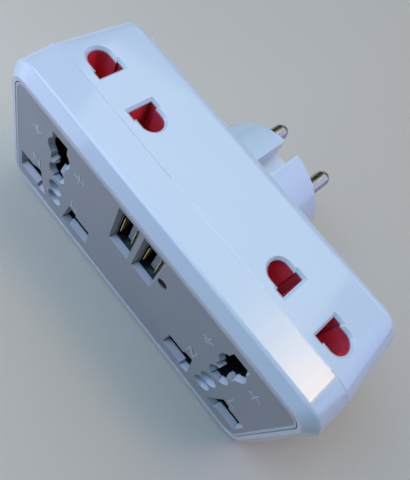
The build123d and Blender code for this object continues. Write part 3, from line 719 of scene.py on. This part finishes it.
@dataclass
class SocketMarks:
    """The raised signs beside the holes of one universal socket.

    Attributes:
        side: The end of the housing that the socket is at.
        height: A sign's height.
        stroke: Width of its strokes.
        relief: How far it stands off the panel.
        edge: Size of the slope round its face.
        out: How far the signs stand from the socket's middle.
        earth_z: Height of the signs beside the earth hole.
        line_z: Height of the signs above the line holes.
    """

    side: Side
    height: float = 3.8 * MM
    stroke: float = 0.40 * MM
    relief: float = 0.10 * MM
    edge: float = 0.04 * MM
    out: float = 7.9 * MM
    earth_z: float = 35.3 * MM
    line_z: float = 22.0 * MM

    def outlines(self, mark: Mark) -> list[Ring]:
        """Draws a sign.

        Args:
            mark: The sign.

        Returns:
            Its outlines, each a ring of points about the sign's middle.
        """
        width, height = MARK_WIDTHS[mark] * self.height, self.height
        rings = DRAWINGS[mark](width, height, self.stroke)
        return [[(x - width / 2, z - height / 2) for x, z in ring] for ring in rings]

    def places(self) -> dict[Mark, Point]:
        """Gives each sign's place on the panel.

        Returns:
            The X and Z of each sign's middle.
        """
        low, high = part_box(f"contact_carrier_{self.side.value}")
        middle = (low.x + high.x) / 2
        left, right = middle - self.out, middle + self.out
        return {Mark.EARTH: (left, self.earth_z), Mark.CROSS: (right, self.earth_z),
                Mark.NEUTRAL: (left, self.line_z), Mark.LIVE: (right, self.line_z)}

    def build(self) -> list[bpy.types.Object]:
        """Builds the signs as sloped plates on the panel's face.

        Returns:
            One piece for each sign.
        """
        face_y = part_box("front_panel")[0].y
        made = []
        for mark, (x, z) in self.places().items():
            mesh = bmesh.new()
            for ring in self.outlines(mark):
                add_sloped_plate(mesh, ring, self.relief, self.edge)
            mesh.transform(Matrix.Translation((x, face_y, z)))
            made.append(finish_mesh(mesh, f"{mark.value}_mark_{self.side.value}"))
        return made

    def dress(self, pieces: list[bpy.types.Object], material: bpy.types.Material) -> None:
        """Gives the signs their finish, a shade lighter than the panel."""
        for piece in pieces:
            tie_in(piece, material)


@dataclass
class PortSprings:
    """The sprung leaf on each long wall of one charging port's shell, that holds a plug.

    Attributes:
        side: Which of the two ports it is.
        thickness: Thickness of a leaf.
        width: Its width along the wall.
        rise: How far its front end stands off the wall.
        wall: Thickness of the shell's wall.
        front: How far the leaf starts behind the shell's mouth.
        length: Its length.
        steps: Number of straight runs along its curve.
    """

    side: Side
    thickness: float = 0.22 * MM
    width: float = 7.0 * MM
    rise: float = 0.45 * MM
    wall: float = 0.3 * MM
    front: float = 0.15 * MM
    length: float = 5.0 * MM
    steps: int = 8

    def build(self) -> bpy.types.Object:
        """Builds both leaves in one piece.

        Returns:
            The piece.
        """
        low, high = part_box(f"port_shell_{self.side.value}")
        mesh = bmesh.new()
        for wall_x, inward in ((low.x + self.wall, 1), (high.x - self.wall, -1)):
            rings = self.leaf_sections(wall_x, inward, low.y + self.front, (low.z + high.z) / 2)
            add_sweep(mesh, rings)
        return finish_mesh(mesh, f"port_springs_{self.side.value}")

    def leaf_sections(self, wall_x: float, inward: int, start: float,
                      middle_z: float) -> list[list[Vector]]:
        """Works out a leaf's sections, from its raised front end back to the wall.

        Args:
            wall_x: X of the shell wall's inner face.
            inward: The sign of X that leads away from the wall.
            start: Y of the leaf's front end.
            middle_z: Height of its middle.

        Returns:
            A ring of four points for each section.
        """
        low_z, high_z = middle_z - self.width / 2, middle_z + self.width / 2
        rings = []
        for step in range(self.steps + 1):
            share = step / self.steps
            lift = self.rise * math.cos(math.pi / 2 * share) ** 2
            near, far = wall_x + inward * lift, wall_x + inward * (lift + self.thickness)
            y = start + self.length * share
            rings.append([Vector((near, y, low_z)), Vector((far, y, low_z)),
                          Vector((far, y, high_z)), Vector((near, y, high_z))])
        return rings

    def dress(self, piece: bpy.types.Object, material: bpy.types.Material) -> None:
        """Gives the leaves a spring metal and ties them to the adapter."""
        tie_in(piece, material)


@dataclass
class PanelBorder:
    """The fine raised border that runs round the front panel, inside the gap to the housing's rim.

    Attributes:
        width: Width of the border.
        rise: How far it stands off the panel.
        slope: Width of its sloped inner edge.
        corner: Radius of the panel's corners.
        steps: Number of straight runs in each corner.
    """

    width: float = 0.62 * MM
    rise: float = 0.08 * MM
    slope: float = 0.10 * MM
    corner: float = 3.73 * MM
    steps: int = 10

    def outline(self, inset: float, y: float) -> list[Vector]:
        """Draws the panel's outline as a ring of points.

        Args:
            inset: How far it lies inside the panel's edge.
            y: Its place along Y.

        Returns:
            The ring.
        """
        low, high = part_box("front_panel")
        radius = self.corner - inset
        ring = []
        corners = ((high.x, high.z), (low.x, high.z), (low.x, low.z), (high.x, low.z))
        for index, (x, z) in enumerate(corners):
            centre_x = x - math.copysign(self.corner, x)
            centre_z = z - self.corner if z == high.z else z + self.corner
            for step in range(self.steps + 1):
                turn = math.pi / 2 * (index + step / self.steps)
                ring.append(Vector((centre_x + radius * math.cos(turn), y,
                                    centre_z + radius * math.sin(turn))))
        return ring

    def build(self) -> bpy.types.Object:
        """Builds the border as a closed ring.

        Returns:
            The piece.
        """
        face_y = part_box("front_panel")[0].y
        back_y, front_y = face_y + SUNK, face_y - self.rise
        rings = [self.outline(0.0, back_y), self.outline(0.0, front_y),
                 self.outline(self.width, front_y), self.outline(self.width + self.slope, back_y)]
        mesh = bmesh.new()
        loops = [[mesh.verts.new(point) for point in ring] for ring in rings]
        for first, second in zip(loops, loops[1:] + loops[:1]):
            join_rings(mesh, first, second)
        return finish_mesh(mesh, "panel_border")

    def dress(self, piece: bpy.types.Object, material: bpy.types.Material) -> None:
        """Gives the border its finish and ties it to the adapter."""
        tie_in(piece, material)


@dataclass
class SeamBead:
    """The fine moulded bead along the rear shell's edge, where it meets the front cover on top.

    Attributes:
        radius: Radius of the bead.
        sunk: How far its middle lies below the top.
        start: X of its left end.
        corner: Radius of the housing's corners, where the bead ends.
        taper: Length over which its left end grows to its full radius.
        run_out: Length over which its right end shrinks again.
        tip: Its radius at both ends, as a share of the full one.
        sides: Number of faces round it.
    """

    radius: float = 0.30 * MM
    sunk: float = 0.24 * MM
    start: float = -8.0 * MM
    corner: float = 9.0 * MM
    taper: float = 26.0 * MM
    run_out: float = 1.0 * MM
    tip: float = 0.8
    sides: int = 24

    def build(self) -> bpy.types.Object:
        """Builds the bead along X.

        Returns:
            The piece.
        """
        low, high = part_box("rear_case")
        end = high.x - self.corner
        stations = ((self.start, self.tip), (self.start + self.taper, 1.0),
                    (end - self.run_out, 1.0), (end, self.tip))
        turns = [2 * math.pi * side / self.sides for side in range(self.sides)]
        rings = [[Vector((x, low.y + self.radius * share * math.cos(turn),
                          high.z - self.sunk + self.radius * share * math.sin(turn)))
                  for turn in turns] for x, share in stations]
        mesh = bmesh.new()
        add_sweep(mesh, rings)
        return finish_mesh(mesh, "seam_bead")

    def dress(self, piece: bpy.types.Object, material: bpy.types.Material) -> None:
        """Gives the bead its near-white finish, a painted highlight along the seam, and ties it to
        the adapter.
        """
        tie_in(piece, material)


def tie_in(piece: bpy.types.Object, material: bpy.types.Material) -> None:
    """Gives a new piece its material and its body.

    Args:
        piece: The piece.
        material: Its material.
    """
    piece.data.materials.append(material)
    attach(piece, ROOT)
    LOG.info("built %s", piece.name)


def join_rings(mesh: bmesh.types.BMesh, first: list[bmesh.types.BMVert],
               second: list[bmesh.types.BMVert]) -> None:
    """Adds the band of faces between two rings with as many corners each.

    Args:
        mesh: The mesh that it goes into.
        first: One ring.
        second: The other ring.
    """
    count = len(first)
    for i in range(count):
        j = (i + 1) % count
        mesh.faces.new((first[i], first[j], second[j], second[i]))


def add_sweep(mesh: bmesh.types.BMesh, rings: list[list[Vector]]) -> None:
    """Adds a closed body along a row of sections.

    Args:
        mesh: The mesh that it goes into.
        rings: Its sections, with as many points each.
    """
    loops = [[mesh.verts.new(point) for point in ring] for ring in rings]
    for first, second in zip(loops, loops[1:]):
        join_rings(mesh, first, second)
    mesh.faces.new(loops[0])
    mesh.faces.new(loops[-1])


def add_sloped_plate(mesh: bmesh.types.BMesh, ring: Ring, rise: float, slope: float) -> None:
    """Adds a closed plate with a sloped border, standing off the plane y = 0 towards -Y.

    Args:
        mesh: The mesh that it goes into.
        ring: Its outline in X and Z.
        rise: How far its face stands off.
        slope: Width of the slope round its face.
    """
    back = mesh.faces.new([mesh.verts.new((x, SUNK, z)) for x, z in ring])
    back.normal_update()
    if back.normal.y > 0:
        back.normal_flip()
    grown = bmesh.ops.extrude_face_region(mesh, geom=[back], use_keep_orig=True)
    front = [item for item in grown["geom"] if isinstance(item, bmesh.types.BMFace)]
    verts = [item for item in grown["geom"] if isinstance(item, bmesh.types.BMVert)]
    bmesh.ops.translate(mesh, verts=verts, vec=(0, -(SUNK + rise), 0))
    bmesh.ops.inset_region(mesh, faces=front, thickness=slope, depth=0.0, use_boundary=True)
    border = {vert for item in front for vert in item.verts}
    for vert in verts:
        if vert not in border:
            vert.co.y += slope


def finish_mesh(mesh: bmesh.types.BMesh, name: str) -> bpy.types.Object:
    """Turns a bmesh into an object in the scene.

    Args:
        mesh: The mesh, which is freed.
        name: The object's name.

    Returns:
        The object.
    """
    bmesh.ops.recalc_face_normals(mesh, faces=mesh.faces)
    data = bpy.data.meshes.new(name)
    mesh.to_mesh(data)
    mesh.free()
    piece = bpy.data.objects.new(name, data)
    bpy.context.scene.collection.objects.link(piece)
    return piece


# Studio


@dataclass(frozen=True)
class SoftLight:
    """One rectangular studio light.

    Attributes:
        name: The light's name.
        place: Where it hangs.
        size: Its width and length.
        watts: Its power.
        colour: Its colour.
        aim: The point that it faces.
    """

    name: str
    place: Place
    size: Point
    watts: float
    colour: Colour
    aim: Place = HOUSING_MIDDLE

    def hang(self) -> None:
        """Adds the light to the scene."""
        data = bpy.data.lights.new(self.name, "AREA")
        data.shape = "RECTANGLE"
        data.size, data.size_y = self.size
        data.energy = self.watts
        data.color = self.colour
        light = bpy.data.objects.new(self.name, data)
        light.visible_camera = False
        light.location = self.place
        direction = Vector(self.aim) - Vector(self.place)
        light.rotation_euler = direction.to_track_quat("-Z", "Y").to_euler()
        bpy.context.scene.collection.objects.link(light)
        LOG.info("hung %s", self.name)


@dataclass(frozen=True)
class Window:
    """A row of window panes along X that grow brighter from the first to the last.

    Attributes:
        place: The row's middle.
        length: The row's length.
        width: The panes' other side.
        watts: Power of the first pane and of the last one.
        growth: How late along the row the power grows.
        count: Number of panes.
        colour: Their colour.
    """

    place: Place = (0.140, 0.172, 0.60)
    length: float = 0.24
    width: float = 0.11
    watts: Point = (0.003, 0.16)
    growth: float = 1.5
    count: int = 8
    colour: Colour = (1.0, 0.62, 0.22)

    def panes(self) -> list[SoftLight]:
        """Divides the row into lights that all face straight down.

        Returns:
            The panes.
        """
        middle_x, y, z = self.place
        pane = self.length / self.count
        first, last = self.watts
        made = []
        for index in range(self.count):
            x = middle_x + (index - (self.count - 1) / 2) * pane
            watts = first + (last - first) * (index / (self.count - 1)) ** self.growth
            made.append(SoftLight(f"pane_{index}", (x, y, z), (pane, self.width), watts,
                                  self.colour, aim=(x, y, 0.0)))
        return made


@dataclass
class Studio:
    """The floor, the lights and the camera.

    Attributes:
        floor_half: Half the floor's side.
        floor_drop: How far it lies below the adapter.
        floor_colours: Its colour, and the one that it drifts to.
        floor_roughness: Its roughness.
        floor_grain: Depth of its grain.
        fade: Where the floor begins to fade into the backdrop, and where it has.
        backdrop: Colour of the sky and of the far floor.
        backdrop_glow: How bright the camera sees them.
        sky_glow: How brightly the sky lights the adapter.
        camera_place: Where the camera stands.
        camera_aim: The point that it faces.
        camera_roll: Its turn about its own axis, in degrees.
        lens: Its focal length in millimetres.
        sensor: Width of its sensor in millimetres.
        nearest: The nearest distance that it sees.
        lights: The lights.
    """

    floor_half: float = 3.0
    floor_drop: float = 0.02 * MM
    floor_colours: tuple[Colour, Colour] = ((0.66, 0.585, 0.49), (0.64, 0.565, 0.47))
    floor_roughness: float = 0.75
    floor_grain: float = 0.02 * MM
    fade: Point = (0.3, 1.8)
    backdrop: Colour = (0.82, 0.87, 1.0)
    backdrop_glow: float = 0.42
    sky_glow: float = 0.02
    camera_place: Place = (18.63 * MM, -76.42 * MM, 141.22 * MM)
    camera_aim: Place = (3.70 * MM, -12.71 * MM, 25.0 * MM)
    camera_roll: float = 38.76
    lens: float = 38.18
    sensor: float = 36.0
    nearest: float = 0.005
    lights: tuple[SoftLight, ...] = (
        SoftLight("overhead", (-0.10, 0.30, 0.75), (0.60, 0.60), 1.90, (0.84, 0.98, 0.92)),
        SoftLight("front", (-0.32, -0.24, 0.68), (0.62, 0.50), 3.70, (0.31, 0.66, 1.0)),
        SoftLight("low", (-0.17, -0.15, 0.08), (0.18, 0.12), 0.16, (0.66, 0.71, 1.0)),
        SoftLight("warm", (-0.24, -0.12, 0.26), (0.26, 0.26), 0.14, (1.0, 0.38, 0.22)),
        SoftLight("side", (0.45, 0.50, 0.36), (0.80, 0.60), 2.40, (0.43, 0.48, 1.0)),
        *Window().panes(),
    )

    def build(self) -> None:
        """Adds the floor, the lights, the sky and the camera."""
        self.lay_floor()
        for light in self.lights:
            light.hang()
        self.fill_sky()
        self.set_camera()

    def lay_floor(self) -> None:
        """Lays a plain pale floor, which the camera sees fade into the backdrop far away."""
        mesh = bmesh.new()
        bmesh.ops.create_grid(mesh, x_segments=1, y_segments=1, size=self.floor_half)
        floor = finish_mesh(mesh, "floor")
        floor.location.z = -self.floor_drop
        bench = Bench("floor_card")
        wiring = bench.wiring
        grain = bench.group("mould_grain", Fineness=1500.0, Drift=6.0)
        bench.set("Base Color", wiring.blend(grain.outputs["Drift"], *self.floor_colours))
        bench.set("Roughness", self.floor_roughness)
        bench.relief(grain.outputs["Height"], self.floor_grain)
        distance = wiring.node("VectorMath", operation="LENGTH")
        wiring.join(wiring.node("NewGeometry").outputs["Position"], distance.inputs[0])
        far = wiring.span(distance.outputs["Value"], *self.fade, to_high=self.backdrop_glow)
        seen = wiring.node("LightPath").outputs["Is Camera Ray"]
        bench.set("Emission Color", rgba(self.backdrop))
        bench.set("Emission Strength", wiring.maths("MULTIPLY", far, seen))
        floor.data.materials.append(bench.material)

    def fill_sky(self) -> None:
        """Fills the room with faint light, and shows the camera a pale backdrop."""
        world = bpy.data.worlds.new("room")
        world.use_nodes = True
        wiring = Wiring(world.node_tree)
        sky = world.node_tree.nodes["Background"]
        sky.inputs["Color"].default_value = rgba(self.backdrop)
        seen = wiring.node("LightPath").outputs["Is Camera Ray"]
        glow = wiring.span(seen, 0.0, 1.0, self.sky_glow, self.backdrop_glow)
        wiring.join(glow, sky.inputs["Strength"])
        bpy.context.scene.world = world
        bpy.context.scene.view_settings.view_transform = "Standard"

    def set_camera(self) -> None:
        """Puts the camera at the photograph's viewing angle."""
        data = bpy.data.cameras.new("camera")
        data.lens = self.lens
        data.sensor_width = self.sensor
        data.clip_start = self.nearest
        camera = bpy.data.objects.new("camera", data)
        camera.location = self.camera_place
        upright = (Vector(self.camera_aim) - Vector(self.camera_place)).to_track_quat("-Z", "Y")
        roll = Quaternion((0.0, 0.0, 1.0), math.radians(self.camera_roll))
        camera.rotation_mode = "QUATERNION"
        camera.rotation_quaternion = upright @ roll
        bpy.context.scene.collection.objects.link(camera)
        bpy.context.scene.camera = camera


def main() -> None:
    """Dresses the adapter and sets the studio."""
    logging.basicConfig(level=logging.INFO, format="%(name)s: %(message)s")
    Studio().build()
    dress_nodes()
    border = PanelBorder()
    border.dress(border.build(), bpy.data.materials["panel_sign"])
    bead = SeamBead()
    bead.dress(bead.build(), bpy.data.materials["seam_edge"])
    for side in Side:
        marks = SocketMarks(side)
        marks.dress(marks.build(), bpy.data.materials["panel_sign"])
        springs = PortSprings(side)
        springs.dress(springs.build(), bpy.data.materials["contact_gold"])


if __name__ == "__main__":
    main()
